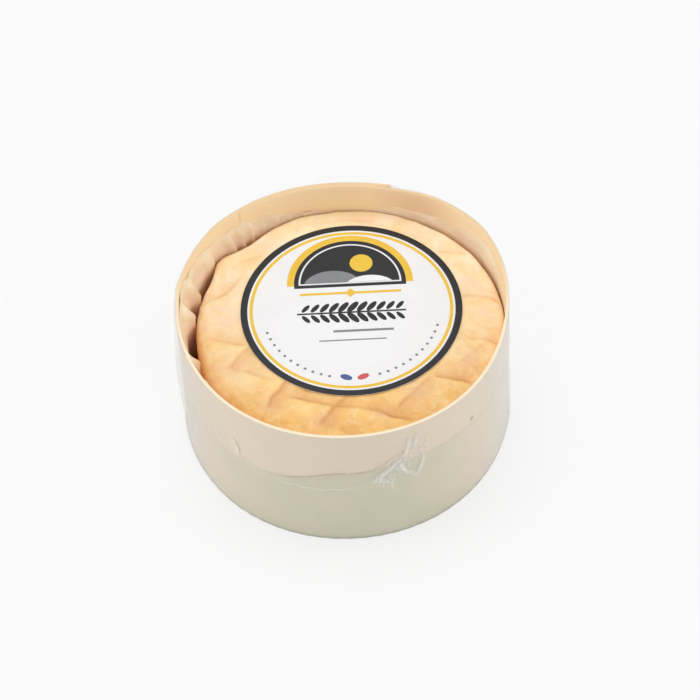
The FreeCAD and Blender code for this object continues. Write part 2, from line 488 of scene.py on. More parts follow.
def bend_strip(vertex):
    """Moves a vertex of the even spiral to its place on the strip."""
    along = along_of[vertex.index]
    z = vertex.co.z
    rough_edge = ROUGH_EDGE * (noise.noise(Vector((along * 0.9, 3.1, 0))) - 1)
    rough_edge *= ease((z / BOX_HIGH - 0.5) * 2)
    spring = END_SPRING * ease((along - 360 - LAP + 7) / 7)
    radius = box_outside(strip_angle(along), z) - lap_inset(along) + spring
    return polar(strip_angle(along), radius, z + rough_edge) - vertex.co


push(hoop, bend_strip)
strip_map = hoop.data.uv_layers.new(name="strip")
for face in hoop.data.polygons:
    for loop in face.loop_indices:
        index = hoop.data.loops[loop].vertex_index
        along = math.radians(along_of[index]) * BOX_RADIUS
        strip_map.data[loop].uv = (along, hoop.data.vertices[index].co.z)
edit(hoop)
bpy.ops.mesh.normals_make_consistent(inside=False)
bpy.ops.object.mode_set(mode="OBJECT")
if sum(face.normal.dot(face.center * FLAT) for face in hoop.data.polygons) < 0:
    hoop.data.flip_normals()
thick = hoop.vertex_groups.new(name="thickness")
for vertex in hoop.data.vertices:
    thick.add([vertex.index], strip_thickness(along_of[vertex.index]) / VENEER, "REPLACE")
add_modifier(hoop, "SOLIDIFY", thickness=VENEER, offset=-1, use_even_offset=True, vertex_group="thickness")
add_modifier(hoop, "BEVEL", width=0.14 * MM, segments=2, limit_method="ANGLE", angle_limit=math.radians(50))
apply_modifiers(hoop)
hoop.vertex_groups.clear()
bpy.ops.object.shade_smooth_by_angle(angle=math.radians(35))
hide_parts("veneer_hoop")
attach(hoop, "root")
print("hoop:", len(hoop.data.polygons), "faces")

# %% [markdown]
# ### Veneer finish
# Peeled poplar is pale and silky, with fine lines along the strip. The inside is warmer, partly because
# the cheese's moisture reaches it and partly as painted light reflected from the orange cheese, and the
# outside is greyer. The cut top edge is pale: at the front it is lighter than either face, which is a
# painted highlight, and behind it turns golden, which is painted shade. The wood is pinker where it is
# damp beside the seam, and the damp shows faintly on the outside too. A small brown nick marks the
# outside at the front right. The grain reads the strip's own UV map, so it runs along the strip all
# the way round.

# %% Veneer material
def is_facing_out(tree, coordinates):
    """1 on faces that look away from the box's axis, and 0 on those that look towards it."""
    flat = add_node(tree, "VectorMath", {0: coordinates, 1: (1, 1, 0)}, operation="MULTIPLY").outputs[0]
    normal = add_node(tree, "NewGeometry").outputs["Normal"]
    along = add_node(tree, "VectorMath", {0: flat, 1: normal}, operation="DOT_PRODUCT").outputs["Value"]
    return ranged(tree, along, -0.005, 0.005)


def is_facing_up(tree):
    normal = add_node(tree, "NewGeometry").outputs["Normal"]
    return ranged(tree, add_node(tree, "SeparateXYZ", {0: normal}).outputs["Z"], 0.55, 0.85)


def distance_from(tree, coordinates, place):
    return add_node(tree, "VectorMath", {0: coordinates, 1: place}, operation="DISTANCE").outputs["Value"]


veneer, tree, shader = new_material("poplar veneer", roughness=0.55, coat_roughness=0.22, coat_ior=1.45)
places = add_node(tree, "TexCoord").outputs
wood = use_group(tree, grain, places["UV"])
height_up = add_node(tree, "SeparateXYZ", {0: places["Object"]}).outputs["Z"]
broad = noise_of(tree, stretched(tree, places["UV"], (14, 60, 1)), 1, 2)
# Inside: warm, partly a stain from the cheese's moisture and partly painted light reflected from the orange
# cheese.
inside = mixed(tree, ranged(tree, height_up, 0.036, 0.050), colour(252, 218, 172), colour(252, 224, 180))
inside = mixed(tree, ranged(tree, wood["Tone"], 0.35, 0.65), inside, colour(255, 234, 198))
outside = mixed(tree, ranged(tree, wood["Tone"], 0.35, 0.65), colour(224, 207, 186), colour(236, 221, 201))
outside = mixed(tree, ranged(tree, broad, 0.35, 0.65, 0.0, 0.25), outside, colour(226, 212, 184))
face_out = is_facing_out(tree, places["Object"])
wall = mixed(tree, face_out, inside, outside)
wall = mixed(tree, sums(tree, "MULTIPLY", wood["Line"], 0.36), wall, colour(196, 164, 128))
from_damp = distance_from(tree, places["Object"], polar(60, BOX_RADIUS - 1.5 * MM, 42 * MM))
wall = mixed(tree, ranged(tree, from_damp, 16 * MM, 4 * MM, 0, 0.6), wall, colour(228, 186, 152))
from_nick = distance_from(tree, places["Object"], polar(315.7, BOX_RADIUS + 0.4 * MM, 36.5 * MM))
from_nick = sums(tree, "ADD", from_nick, sums(tree, "MULTIPLY", wood["Tone"], 0.6 * MM))
wall = mixed(tree, ranged(tree, from_nick, 1.3 * MM, 0.7 * MM, 0, 0.8), wall, colour(138, 112, 84))
# Cut edge: a painted highlight makes it light at the front, and painted shade turns it golden behind.
cut_edge = mixed(tree, ranged(tree, wood["Tone"], 0.3, 0.7), colour(240, 222, 190), colour(250, 234, 206))
behind = ranged(tree, add_node(tree, "SeparateXYZ", {0: places["Object"]}).outputs["Y"], -0.012, 0.020)
cut_edge = mixed(tree, behind, cut_edge, colour(232, 200, 156))
tree.links.new(mixed(tree, is_facing_up(tree), wall, cut_edge), shader["Base Color"])
tree.links.new(sums(tree, "MULTIPLY", face_out, 0.35), shader["Coat Weight"])
tree.links.new(ranged(tree, wood["Tone"], 0.3, 0.7, 0.62, 0.5), shader["Roughness"])
tree.links.new(bumped(tree, wood["Height"], 0.35, 0.05 * MM), shader["Normal"])
hoop.data.materials.append(veneer)
print("veneer finished")

# %% [markdown]
# ## The base
# The base is a thin disc of wood let into the hoop's foot. Its construction solid already has the
# right shape, so it stays and only gets its finish: straight grain across the disc.

# %% Base disc material
base_wood, tree, shader = new_material("base wood", roughness=0.6)
places = add_node(tree, "TexCoord").outputs
wood = use_group(tree, grain, places["Object"])
tone = mixed(tree, ranged(tree, wood["Tone"], 0.35, 0.65), colour(222, 198, 164), colour(238, 220, 192))
tree.links.new(mixed(tree, sums(tree, "MULTIPLY", wood["Line"], 0.3), tone, colour(180, 148, 112)),
               shader["Base Color"])
tree.links.new(bumped(tree, wood["Height"], 0.5, 0.08 * MM), shader["Normal"])
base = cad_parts["base_disc"]
base.data.materials.clear()
base.data.materials.append(base_wood)
print("base disc finished")

# %% [markdown]
# ## The cheese
# The cheese is a soft puck with rounded shoulders and an uneven outline. Its rind keeps the print
# of the rack it dried on: two families of shallow creases that cross at a slant. A cylinder with
# bevelled edges is remeshed into small even squares first, because creases that run in any
# direction need an even mesh. Then the outline, the slumped side and the print are pushed in.

# %% Cheese measures
CHEESE_CENTRE = Vector((1.4 * MM, -0.3 * MM, 0))
CHEESE_RADIUS = 47.0 * MM
BUMPS = ((55, -0.5, 14), (128, -0.8, 7), (143, 2.3, 6), (187, -1.0, 16), (215, -0.6, 10))
CHEESE_LOW, CHEESE_TOP = 2.5 * MM, 39.5 * MM
SHOULDER = 3.1 * MM
LABEL_CENTRE = Vector((2.45 * MM, 6.2 * MM, 0))
LABEL_RADIUS = 33.5 * MM
GRID = 0.62 * MM


def cheese_outline(angle):
    """Radius of the cheese about its own centre: round, with dents and one blunt corner."""
    return CHEESE_RADIUS + MM * sum(high * bump(angle, turn, wide) for turn, high, wide in BUMPS)


def shoulder_at(angle):
    """Radius of the rounded top edge: sharp at the back, where the box squeezes it."""
    return (2.6 + 1.8 * math.cos(math.radians(angle - 245))) * MM


# %% Creases
# Each crease is a run of places on the top in mm, how strong it is, and which side lies deeper:
# 1 for the left of the run, -1 for the right.
CREASES = [
    ([(-17, -20), (-20, -23.6), (-22.3, -26.5), (-23.5, -29.5)], 1.0, 1),
    ([(0, -26.5), (-4.1, -30.5), (-6.2, -33.6), (-8.4, -36.4)], 1.0, 1),
    ([(-28, -6.5), (-32, -10.5), (-35, -14.5)], 0.8, 1),
    ([(-42, -1.8), (-35.7, -4.3), (-29, -6.2)], 0.7, 1),
    ([(-18, -25.5), (-12, -27.4), (-7.3, -29.3), (4.3, -31.3), (9.3, -32.7), (14.2, -35),
      (20, -36.8)], 1.1, 1),
    ([(-31, -14.8), (-26.8, -17.1), (-21, -19.6)], 0.55, 1),
    ([(-3, -37.4), (2.6, -42.2)], 0.55, 1),
    ([(29.5, 27.8), (34.6, 27.3), (39, 25.9)], 0.6, 1),
    ([(35.5, 9.5), (40.8, 9.1), (44.5, 7.9), (48, 5.6)], 0.8, 1),
    ([(37, -7.2), (41.7, -8.2), (46, -10.8)], 0.85, 1),
    ([(25.5, -21.2), (29.6, -21.9), (33.6, -22.6), (37.5, -24.4)], 1.0, 1),
    ([(25.5, -20.6), (19.8, -26), (14, -32.6)], 0.6, 1),
    ([(43, -8.5), (37.6, -13), (32, -18)], 0.45, 1),
    ([(-29, 23), (-33, 18.3), (-35.7, 14.5), (-38, 13.1), (-41, 12.3), (-43.3, 10)], 0.7, -1),
    ([(-24, 30), (-30, 27.5), (-34, 24)], 0.4, 1),
    ([(-10, 41), (4, 42.5), (12, 41)], 0.35, 1),
    ([(16, 37.5), (25, 33.5)], 0.35, 1),
]
# Each patch of pale bloom is its place and its size, in mm.
BLOOMS = ((-34, -14.8, 4.5), (-36, 5, 6), (-31, 15, 5), (20, -26.5, 4.5), (-7.5, -35, 3.5), (-22, -28, 3.0),
          (40, 14, 5), (36, -15, 4), (-22, 33, 5), (43, 2, 4), (8, 41.5, 6), (10, -34, 3.0))


def cloud(place, size, seed=0.0):
    """Smooth noise from -1 to 1 with lumps about size metres across."""
    return noise.noise(Vector((place.x / size + seed, place.y / size - seed, place.z / size + 2 * seed)))


def across_run(x, y, places):
    """Signed distance in mm from a place to a run of places (left is positive), and the share along it."""
    nearest, share_there = 99.0, 0.0
    count = len(places) - 1
    for number, ((x0, y0), (x1, y1)) in enumerate(zip(places, places[1:])):
        run_x, run_y = x1 - x0, y1 - y0
        share = ((x - x0) * run_x + (y - y0) * run_y) / (run_x ** 2 + run_y ** 2)
        share = min(max(share, 0.0), 1.0)
        off_x, off_y = x - x0 - run_x * share, y - y0 - run_y * share
        distance = math.hypot(off_x, off_y)
        if distance < abs(nearest):
            nearest = math.copysign(distance, run_x * off_y - run_y * off_x)
            share_there = (number + share) / count
    return nearest, share_there


spans = []
for places, _, _ in CREASES:
    xs, ys = zip(*places)
    spans.append((min(xs) - 8, max(xs) + 8, min(ys) - 8, max(ys) + 8))


def crease_at(place):
    """How strong the groove is here, the hollow beside it, and the lifted side, each from 0 to 1."""
    x, y = place.x / MM, place.y / MM
    groove = hollow = lifted = 0.0
    for (places, strong, side), (left, right, low, high) in zip(CREASES, spans):
        if left < x < right and low < y < high:
            across, share = across_run(x, y, places)
            across = side * across + 0.45 * cloud(place, 3.5 * MM, left)
            fading = strong * ease(min(share, 1 - share) * 5 + 0.25)
            fading *= 0.8 + 0.5 * cloud(place, 6 * MM, high)
            groove = max(groove, fading * math.exp(-(across / 0.5) ** 2))
            if across > 0:
                hollow = max(hollow, fading * math.exp(-(across / 4.2) ** 2))
            else:
                hollow = max(hollow, fading * math.exp(-(across / 0.7) ** 2))
                lifted = max(lifted, fading * math.exp(-(across / 3.2) ** 2))
    return min(groove, 1.0), min(hollow, 1.0), min(lifted, 1.0)


def wrinkles(place):
    """Fine folds of the rind where it was pulled in on the left, and fainter ones on the right."""
    angle = math.degrees(math.atan2(place.y, place.x)) % 360
    radius = math.hypot(place.x, place.y)
    zone = (bump(angle, 166, 24) + 0.7 * bump(angle, 345, 34)) * ease((radius - 33 * MM) / (5 * MM))
    if zone < 0.02:
        return 0.0
    across = angle * math.radians(1) * 40 * MM + 3.2 * MM * cloud(place, 7 * MM, 7)
    across += 0.5 * (radius - 38 * MM)
    return zone * math.sin(across / (0.5 * MM)) * max(0.35 + 1.3 * cloud(place, 4 * MM, 9), 0.0)


def bloom_at(place):
    """Where the pale dry bloom lies on the rind, from 0 to 1."""
    here_x, here_y = place.x / MM, place.y / MM
    share = max(math.exp(-(((here_x - x) ** 2 + (here_y - y) ** 2) / size ** 2)) for x, y, size in BLOOMS)
    ragged = 0.75 + 0.7 * cloud(place, 2.6 * MM, 14) + 0.35 * cloud(place, 1.1 * MM, 15)
    return min(max(share * ragged + 0.9 * wrinkles(place), 0.0), 1.0)


def top_share(place):
    """1 on the top of the cheese, falling to 0 down its side."""
    return ease((place.z - 33 * MM) / (4 * MM))


def rind_relief(place):
    """Height of the rind above the smooth top."""
    groove, hollow, lifted = crease_at(place)
    lumps = 0.34 * cloud(place, 8 * MM, 3) + 0.2 * cloud(place, 3.4 * MM, 5)
    lumps += 0.07 * cloud(place, 1.5 * MM, 8)
    return MM * (lumps - 0.18 * groove - 0.56 * hollow + 0.26 * lifted + 0.42 * wrinkles(place))


print(len(CREASES), "creases")

# %% Cheese mesh
deselect()
cheese_high = CHEESE_TOP - CHEESE_LOW
bpy.ops.mesh.primitive_cylinder_add(vertices=180, radius=CHEESE_RADIUS, depth=cheese_high,
                                    end_fill_type="NGON")
cheese = named("cheese_rind")
bpy.ops.object.mode_set(mode="EDIT")
bpy.ops.transform.translate(value=(0, 0, CHEESE_LOW + cheese_high / 2))
edit(cheese, lambda face: abs(face.normal.z) > 0.9)
bpy.ops.mesh.bevel(offset=SHOULDER, segments=8, profile=0.5)
bpy.ops.object.mode_set(mode="OBJECT")
add_modifier(cheese, "REMESH", mode="VOXEL", voxel_size=GRID)
apply_modifiers(cheese)
print("cheese:", len(cheese.data.vertices), "vertices")


def reshape_shoulder(radius, z, wanted):
    """Turns the even rounded edge into one of the wanted radius."""
    scale = wanted / SHOULDER
    if z > CHEESE_TOP - SHOULDER:
        z = CHEESE_TOP - (CHEESE_TOP - z) * scale
        flat = CHEESE_RADIUS - SHOULDER
        if radius > flat:
            return CHEESE_RADIUS - (CHEESE_RADIUS - radius) * scale, z
        return radius * (CHEESE_RADIUS - wanted) / flat, z
    if z > CHEESE_LOW + SHOULDER:
        share = (z - CHEESE_LOW - SHOULDER) / (cheese_high - 2 * SHOULDER)
        z += share * (SHOULDER - wanted)
    return radius, z


def shape_cheese(vertex):
    """Moves a vertex of the even puck out to the cheese's own outline, then into its relief."""
    angle, radius, z = place_of(vertex)
    front_left = 0.5 + 0.5 * math.cos(math.radians(angle - 240))
    radius, z = reshape_shoulder(radius, z, shoulder_at(angle))
    share = radius / CHEESE_RADIUS
    spread = radius * (1 + (cheese_outline(angle) / CHEESE_RADIUS - 1) * ease((share - 0.55) / 0.45))
    wide = polar(angle, spread, z) + CHEESE_CENTRE
    about, reach = math.degrees(math.atan2(wide.y, wide.x)) % 360, math.hypot(wide.x, wide.y)
    wall = box_inside(about, z) - 0.15 * MM
    if reach > wall:
        wide = polar(about, wall, z)
    from_label = (Vector((wide.x, wide.y, 0)) - LABEL_CENTRE).length - LABEL_RADIUS
    top = ease((z - CHEESE_TOP + 7 * MM) / (5 * MM))
    relief = rind_relief(wide)
    beyond = ease(from_label / (1.5 * MM))
    relief = min(relief, 0.0) * (1 - beyond) + relief * beyond
    fall = (0.9 * front_left - 0.2) * MM * ease(from_label / (12 * MM))
    slump = 3.0 * MM * front_left ** 2 * ease((share - 0.84) / 0.16) ** 2
    wide.z += top * (relief - fall - slump) - 0.05 * MM * top * (1 - beyond)
    uneven = 0.25 * MM * cloud(wide, 9 * MM, 12) * (1 - top) * ease((share - 0.9) / 0.1)
    wide += polar(angle, uneven - 0.2 * MM * (1 - top), 0)
    return wide - vertex.co


push(cheese, shape_cheese)
# These crease masks also place painted shade in the grooves and hollows and a painted highlight on the
# lifted sides.
rind_masks = [(*crease_at(vertex.co), bloom_at(vertex.co)) for vertex in cheese.data.vertices]
for number, name in enumerate(("groove", "hollow", "lifted", "bloom")):
    paint(cheese, name, lambda vertex: rind_masks[vertex.index][number] * top_share(vertex.co))
only(cheese)
bpy.ops.object.shade_smooth()
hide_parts("cheese")
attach(cheese, "root")
print("cheese stands from", round(min(v.co.z for v in cheese.data.vertices) / MM, 2), "to",
      round(max(v.co.z for v in cheese.data.vertices) / MM, 2), "mm")

# %% [markdown]
# ### Rind finish
# A washed rind is smooth, moist and yellow-orange, cloudy in patches, deeper in colour towards the
# front: partly its own colour, and partly painted light, paler at the back where the lamp behind lights
# it. Beside each crease the hollow is darkened to orange by painted shade and the groove to brown by a
# painted shadow line, while the lifted side is a clearer yellow, which is a painted highlight. A pale
# pinkish bloom lies here and there. The side is a deep orange, which is painted shade for the shadow of
# the box's wall. A little light passes into the surface.

# %% Rind material
rind, tree, shader = new_material("washed rind", roughness=0.4, subsurface_weight=0.12,
                                  subsurface_scale=0.002, specular_ior_level=0.45)
shader["Subsurface Radius"].default_value = (1.0, 0.55, 0.25)
places = add_node(tree, "TexCoord").outputs
patches = use_group(tree, mottle, places["Object"], Scale=130.0)
grains = use_group(tree, mottle, places["Object"], Scale=420.0)
split = add_node(tree, "SeparateXYZ", {0: places["Object"]}).outputs
# 0 at the front and 1 at the back: the rind is paler behind, partly its own colour and partly painted light
#                                   from the lamp behind.
paler_and_lit_behind = ranged(tree, split["Y"], -0.036, 0.012)
deep = mixed(tree, paler_and_lit_behind, colour(232, 174, 88), colour(250, 216, 158))
pale = mixed(tree, paler_and_lit_behind, colour(252, 212, 132), colour(255, 239, 210))
top_tone = mixed(tree, patches["Clouds"], deep, pale)
top_tone = mixed(tree, ranged(tree, grains["Clouds"], 0.5, 0.8, 0, 0.35), top_tone, colour(255, 230, 180))
golden = noise_of(tree, stretched(tree, places["Object"], (300, 190, 240)), 1, 3)
golden_tone = mixed(tree, paler_and_lit_behind, colour(250, 196, 100), colour(253, 222, 158))
top_tone = mixed(tree, ranged(tree, golden, 0.5, 0.68, 0, 0.5), top_tone, golden_tone)
# Painted highlight: the lifted side of each crease turns a clearer yellow.
raised_highlight = sums(tree, "MULTIPLY", painted(tree, "lifted"), 0.5)
top_tone = mixed(tree, raised_highlight, top_tone, colour(255, 218, 138))
blooming = sums(tree, "MULTIPLY", painted(tree, "bloom"), 0.75)
bloom_tone = mixed(tree, paler_and_lit_behind, colour(236, 194, 152), colour(252, 222, 194))
top_tone = mixed(tree, blooming, top_tone, bloom_tone)
# Painted shade: the hollow beside each crease turns a darker orange.
hollow_shade_tone = mixed(tree, paler_and_lit_behind, colour(218, 150, 84), colour(244, 194, 134))
top_tone = mixed(tree, sums(tree, "MULTIPLY", painted(tree, "hollow"), 0.62), top_tone, hollow_shade_tone)
# Painted shadow: a brown line along the groove itself.
groove_shadow_tone = mixed(tree, paler_and_lit_behind, colour(196, 122, 62), colour(230, 168, 108))
top_tone = mixed(tree, sums(tree, "MULTIPLY", painted(tree, "groove"), 0.5), top_tone, groove_shadow_tone)
# Painted shade: below the top, the side turns deep orange for the shadow of the box's wall.
side_shade = ranged(tree, split["Z"], 37.6 * MM, 34.6 * MM)
side_shade_tone = mixed(tree, patches["Clouds"], colour(218, 146, 66), colour(234, 168, 90))
tree.links.new(mixed(tree, side_shade, top_tone, side_shade_tone), shader["Base Color"])
tree.links.new(ranged(tree, grains["Specks"], 0, 1, 0.30, 0.46), shader["Roughness"])
skin = sums(tree, "ADD", grains["Clouds"], sums(tree, "MULTIPLY", grains["Specks"], 0.4))
tree.links.new(bumped(tree, skin, 0.5, 0.2 * MM), shader["Normal"])
cheese.data.materials.append(rind)
print("rind finished")

# %% [markdown]
# ## The paper cup
# The cheese stands in a cup of thin greaseproof paper, pleated like a cake case. The pleats fill the
# room between the cheese and the box: wide deep folds where there is room on the left, fine frills
# behind them, and almost pressed flat on the right. Its torn edge stands at uneven heights and leans
# back against the wood. A straight wall is spun first, and a wave then places each column between
# the cheese and the box. The same functions that shaped those two say where they stand.

# %% Cup
# CHOSEN_FOLDS are directions where a pleat touches the cheese, on the left and behind. The others
# follow by chance, from OTHERS_FROM round to OTHERS_TO. CUP_EDGE is (direction, height in mm).
CUP_COLUMNS = 720
PRESSED = 0.94
CUP_FOOT, CUP_LOW = 2.35 * MM, 37.2 * MM
PAPER = 0.12 * MM
CHOSEN_FOLDS = [103, 109, 114, 120, 125, 129.5, 134, 145, 162, 173, 196, 206, 219]
OTHERS_FROM, OTHERS_TO = 226.0, 97 + 360
CUP_EDGE = ((0, 41.5), (12, 43), (24, 46), (34, 45.6), (42, 43.4), (52, 42.0), (60, 42.0), (68, 42.2),
            (76, 40), (84, 37.8), (90, 38.2), (98, 39.6), (108, 40.4), (115, 42.6), (126, 43.4),
            (136, 44.2), (150, 46.2), (166, 47.6), (195, 47.6), (210, 46.6), (226, 43), (238, 40),
            (250, 37.4), (345, 37.4), (360, 41.5))
random.seed(5)
fold_places = list(CHOSEN_FOLDS)
place = OTHERS_FROM
while place < OTHERS_TO:
    fold_places.append(place)
    place += random.uniform(6.4, 9.0)
cup_rows = rows(CUP_FOOT, 30 * MM, 5) + rows(31 * MM, CUP_LOW, 16)
cup = spun_wall("paper_cup_pleats", [polar(0, 46 * MM, z) for z in cup_rows], [(360, CUP_COLUMNS)])
close_wall(cup)


def fold_wave(angle):
    """From 0 where a pleat touches the cheese to 1 where it lies on the box."""
    turn = angle if angle >= fold_places[0] else angle + 360
    for near, far in zip(fold_places, fold_places[1:] + [fold_places[0] + 360]):
        if near <= turn < far:
            wave = min(1.25 * math.sin(math.pi * (turn - near) / (far - near)) ** 0.8, 1.0)
            flat = PRESSED * ease((100 - turn % 360) / 14) * ease((turn % 360 + 20) / 20)
            return wave + (1 - wave) * max(flat, 0.72 * bump(turn % 360, 112, 20))
    return 0.0


def cup_top(angle):
    """Height of the cup's edge above the table."""
    for (start, low), (end, high) in zip(CUP_EDGE, CUP_EDGE[1:]):
        if start <= angle <= end:
            height = low + (high - low) * (angle - start) / (end - start)
    ragged = 0.8 * noise.noise(Vector((angle / 6, 7.7, 0))) + 0.3 * (fold_wave(angle) - 0.6)
    return (height + ragged * ease((height - 38) / 4)) * MM


def shape_cup(vertex):
    """Moves the straight wall of the cup out into pleats between the cheese and the box."""
    angle, radius, z = place_of(vertex)
    up = ease((z - 24 * MM) / (CUP_LOW - 24 * MM))
    new_z = z + (cup_top(angle) - CUP_LOW) * up
    about = polar(angle, 1, 0)
    inner = cheese_outline(angle) + CHEESE_CENTRE.dot(about)
    outer = box_inside(angle, min(new_z, BOX_HIGH)) - 0.03 * MM
    inner = min(inner + 0.1 * MM, outer - 0.15 * MM)
    free = ease((new_z - 37 * MM) / (4 * MM))
    lean = ease((new_z - 39 * MM) / max(cup_top(angle) - 39.4 * MM, 2.5 * MM))
    inner += lean * 0.94 * (outer - inner) - free * 0.4 * MM * (1 - lean)
    here = polar(angle, radius, new_z)
    crumple = (0.45 * cloud(here, 5 * MM, 4) + 0.16 * cloud(here, 2 * MM, 6)) * MM * (0.25 + free)
    open_share = 0.6 + 0.4 * ease((new_z - 36 * MM) / (5 * MM))
    room = outer - inner
    wide = inner + room * fold_wave(angle) * open_share + crumple * min(room / (2 * MM), 1)
    return polar(angle, min(wide, outer), new_z) - vertex.co


push(cup, shape_cup)
add_modifier(cup, "SOLIDIFY", thickness=PAPER, offset=-1)
apply_modifiers(cup)
bpy.ops.object.shade_smooth_by_angle(angle=math.radians(55))
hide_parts("paper_cup")
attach(cup, "root")
print("cup:", len(cup.data.polygons), "faces")

# %% [markdown]
# ### Paper finish
# Dry greaseproof paper is a milky cream. Low down, below about 44 mm, it turns pinker and darker.
# The mottling and the fibres are the shared groups, used at a paper's scale.

# %% Cup paper material
cup_paper, tree, shader = new_material("greaseproof paper", roughness=0.6, subsurface_weight=0.1,
                                       subsurface_scale=0.002)
places = add_node(tree, "TexCoord").outputs
patches = use_group(tree, mottle, places["Object"], Scale=160.0)
fibre = use_group(tree, fibres, places["Object"])
height_up = add_node(tree, "SeparateXYZ", {0: places["Object"]}).outputs["Z"]
tone = mixed(tree, patches["Clouds"], colour(252, 226, 192), colour(255, 240, 216))
# The paper turns pinker and darker below about 44 mm.
pinker_low_down = mixed(tree, ranged(tree, height_up, 44 * MM, 35 * MM), tone, colour(246, 202, 168))
tree.links.new(mixed(tree, sums(tree, "MULTIPLY", fibre["Fibre"], 0.15), pinker_low_down, colour(255, 240, 214)),
               shader["Base Color"])
tree.links.new(ranged(tree, patches["Specks"], 0, 1, 0.5, 0.68), shader["Roughness"])
tree.links.new(bumped(tree, fibre["Fibre"], 0.3, 0.03 * MM), shader["Normal"])
cup.data.materials.append(cup_paper)
print("cup finished")

# %% [markdown]
# ## The label
# The label is a disc of coated paper with a dark rim and a thin gold line inside it. Its top is
# inset ring by ring, so that each printed ring is a ring of faces with its own ink. What is printed
# inside is plain and generic: hills and a sun under an arch, a gold bar, a leafy sprig and dots.

# %% Label disc
LABEL_THICK = 0.22 * MM
LABEL_BASE = CHEESE_TOP + 0.05 * MM
RING_EDGES = (1.0, 0.937, 0.919, 0.888)

deselect()
bpy.ops.mesh.primitive_cylinder_add(vertices=256, radius=LABEL_RADIUS, depth=LABEL_THICK,
                                    end_fill_type="NGON")
label = named("label_disc")
bpy.ops.object.mode_set(mode="EDIT")
bpy.ops.transform.translate(value=LABEL_CENTRE + Vector((0, 0, LABEL_BASE + LABEL_THICK / 2)))
edit(label, lambda face: face.normal.z > 0.9)
for outer, inner in zip(RING_EDGES, RING_EDGES[1:]):
    bpy.ops.mesh.inset(thickness=(outer - inner) * LABEL_RADIUS, depth=0)
for _ in range(3):
    bpy.ops.mesh.inset(thickness=0.1 * LABEL_RADIUS, depth=0)
bpy.ops.object.mode_set(mode="OBJECT")


def lift_edge(vertex):
    """The label's edge rides up a little over the rind's lumps."""
    away = vertex.co - LABEL_CENTRE
    share = math.hypot(away.x, away.y) / LABEL_RADIUS
    lift = 0.16 * MM * (0.5 + 0.5 * noise.noise(away.normalized() * 1.7)) * ease((share - 0.9) / 0.1)
    return Vector((0, 0, lift))


push(label, lift_edge)
add_modifier(label, "BEVEL", width=0.05 * MM, segments=2, limit_method="ANGLE", angle_limit=math.radians(50))
apply_modifiers(label)
bpy.ops.object.shade_smooth_by_angle(angle=math.radians(30))
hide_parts("label")
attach(label, "root")
print("label:", len(label.data.polygons), "faces")


# %% Inks
def printed_paper(name, low, high, roughness):
    """Coated paper or an ink on it: nearly even, with the paper's fibres just showing."""
    material, tree, shader = new_material(name, roughness=roughness)
    places = add_node(tree, "TexCoord").outputs
    fibre = use_group(tree, fibres, places["Object"])
    clouds = use_group(tree, mottle, places["Object"], Scale=90.0)
    share = sums(tree, "ADD", sums(tree, "MULTIPLY", fibre["Fibre"], 0.5),
                 sums(tree, "MULTIPLY", clouds["Clouds"], 0.5))
    tree.links.new(mixed(tree, share, colour(*low), colour(*high)), shader["Base Color"])
    tree.links.new(bumped(tree, fibre["Fibre"], 0.15, 0.02 * MM), shader["Normal"])
    return material


white_paper = printed_paper("label paper", (232, 232, 233), (238, 238, 239), 0.5)
dark_ink = printed_paper("dark ink", (24, 26, 30), (34, 36, 41), 0.6)
gold_ink = printed_paper("gold ink", (226, 182, 48), (238, 198, 66), 0.5)
grey_ink = printed_paper("grey ink", (120, 122, 126), (136, 138, 142), 0.4)
blue_ink = printed_paper("blue ink", (60, 84, 140), (78, 100, 156), 0.4)
red_ink = printed_paper("red ink", (196, 74, 78), (210, 92, 92), 0.4)
INKS = [white_paper, dark_ink, gold_ink, grey_ink, blue_ink, red_ink]
WHITE, DARK, GOLD, GREY, BLUE, RED = range(6)
for ink in (white_paper, dark_ink, gold_ink):
    label.data.materials.append(ink)
for face in label.data.polygons:
    away = face.center - LABEL_CENTRE
    share = math.hypot(away.x, away.y) / LABEL_RADIUS
    if face.normal.z > 0.5:
        in_dark = share > RING_EDGES[1]
        in_gold = RING_EDGES[3] < share < RING_EDGES[2]
        face.material_index = DARK if in_dark else GOLD if in_gold else WHITE
print("inks:", [ink.name for ink in INKS])

# %% Printed motifs
# Each motif is a flat face cut from a circle or a plane, a hair above the paper. x and y are shares
# of the label's radius from its centre, and layer says what lies over what.
INK_STEP = 0.018 * MM
label_top = LABEL_BASE + LABEL_THICK
motifs = []


def motif(ink, x, y, layer, wide, high, corners=48, turn=0.0, cut_below=None):
    """Adds an ellipse of ink, or a rectangle if it has four corners. It is cut off at cut_below."""
    deselect()
    if corners == 4:
        bpy.ops.mesh.primitive_plane_add(size=2)
    else:
        bpy.ops.mesh.primitive_circle_add(vertices=corners, radius=1, fill_type="NGON")
    piece = named("motif")
    height = label_top + INK_STEP * layer
    bpy.ops.object.mode_set(mode="EDIT")
    bpy.ops.transform.resize(value=(wide * LABEL_RADIUS, high * LABEL_RADIUS, 1))
    bpy.ops.transform.rotate(value=-math.radians(turn), orient_axis="Z", center_override=(0, 0, 0))
    bpy.ops.transform.translate(value=LABEL_CENTRE + Vector((x * LABEL_RADIUS, y * LABEL_RADIUS, height)))
    if cut_below is not None:
        line = LABEL_CENTRE + Vector((0, cut_below * LABEL_RADIUS, height))
        bpy.ops.mesh.bisect(plane_co=line, plane_no=(0, -1, 0), use_fill=False, clear_outer=True)
    bpy.ops.object.mode_set(mode="OBJECT")
    for slot_ink in INKS:
        piece.data.materials.append(slot_ink)
    for face in piece.data.polygons:
        face.material_index = ink
    motifs.append(piece)


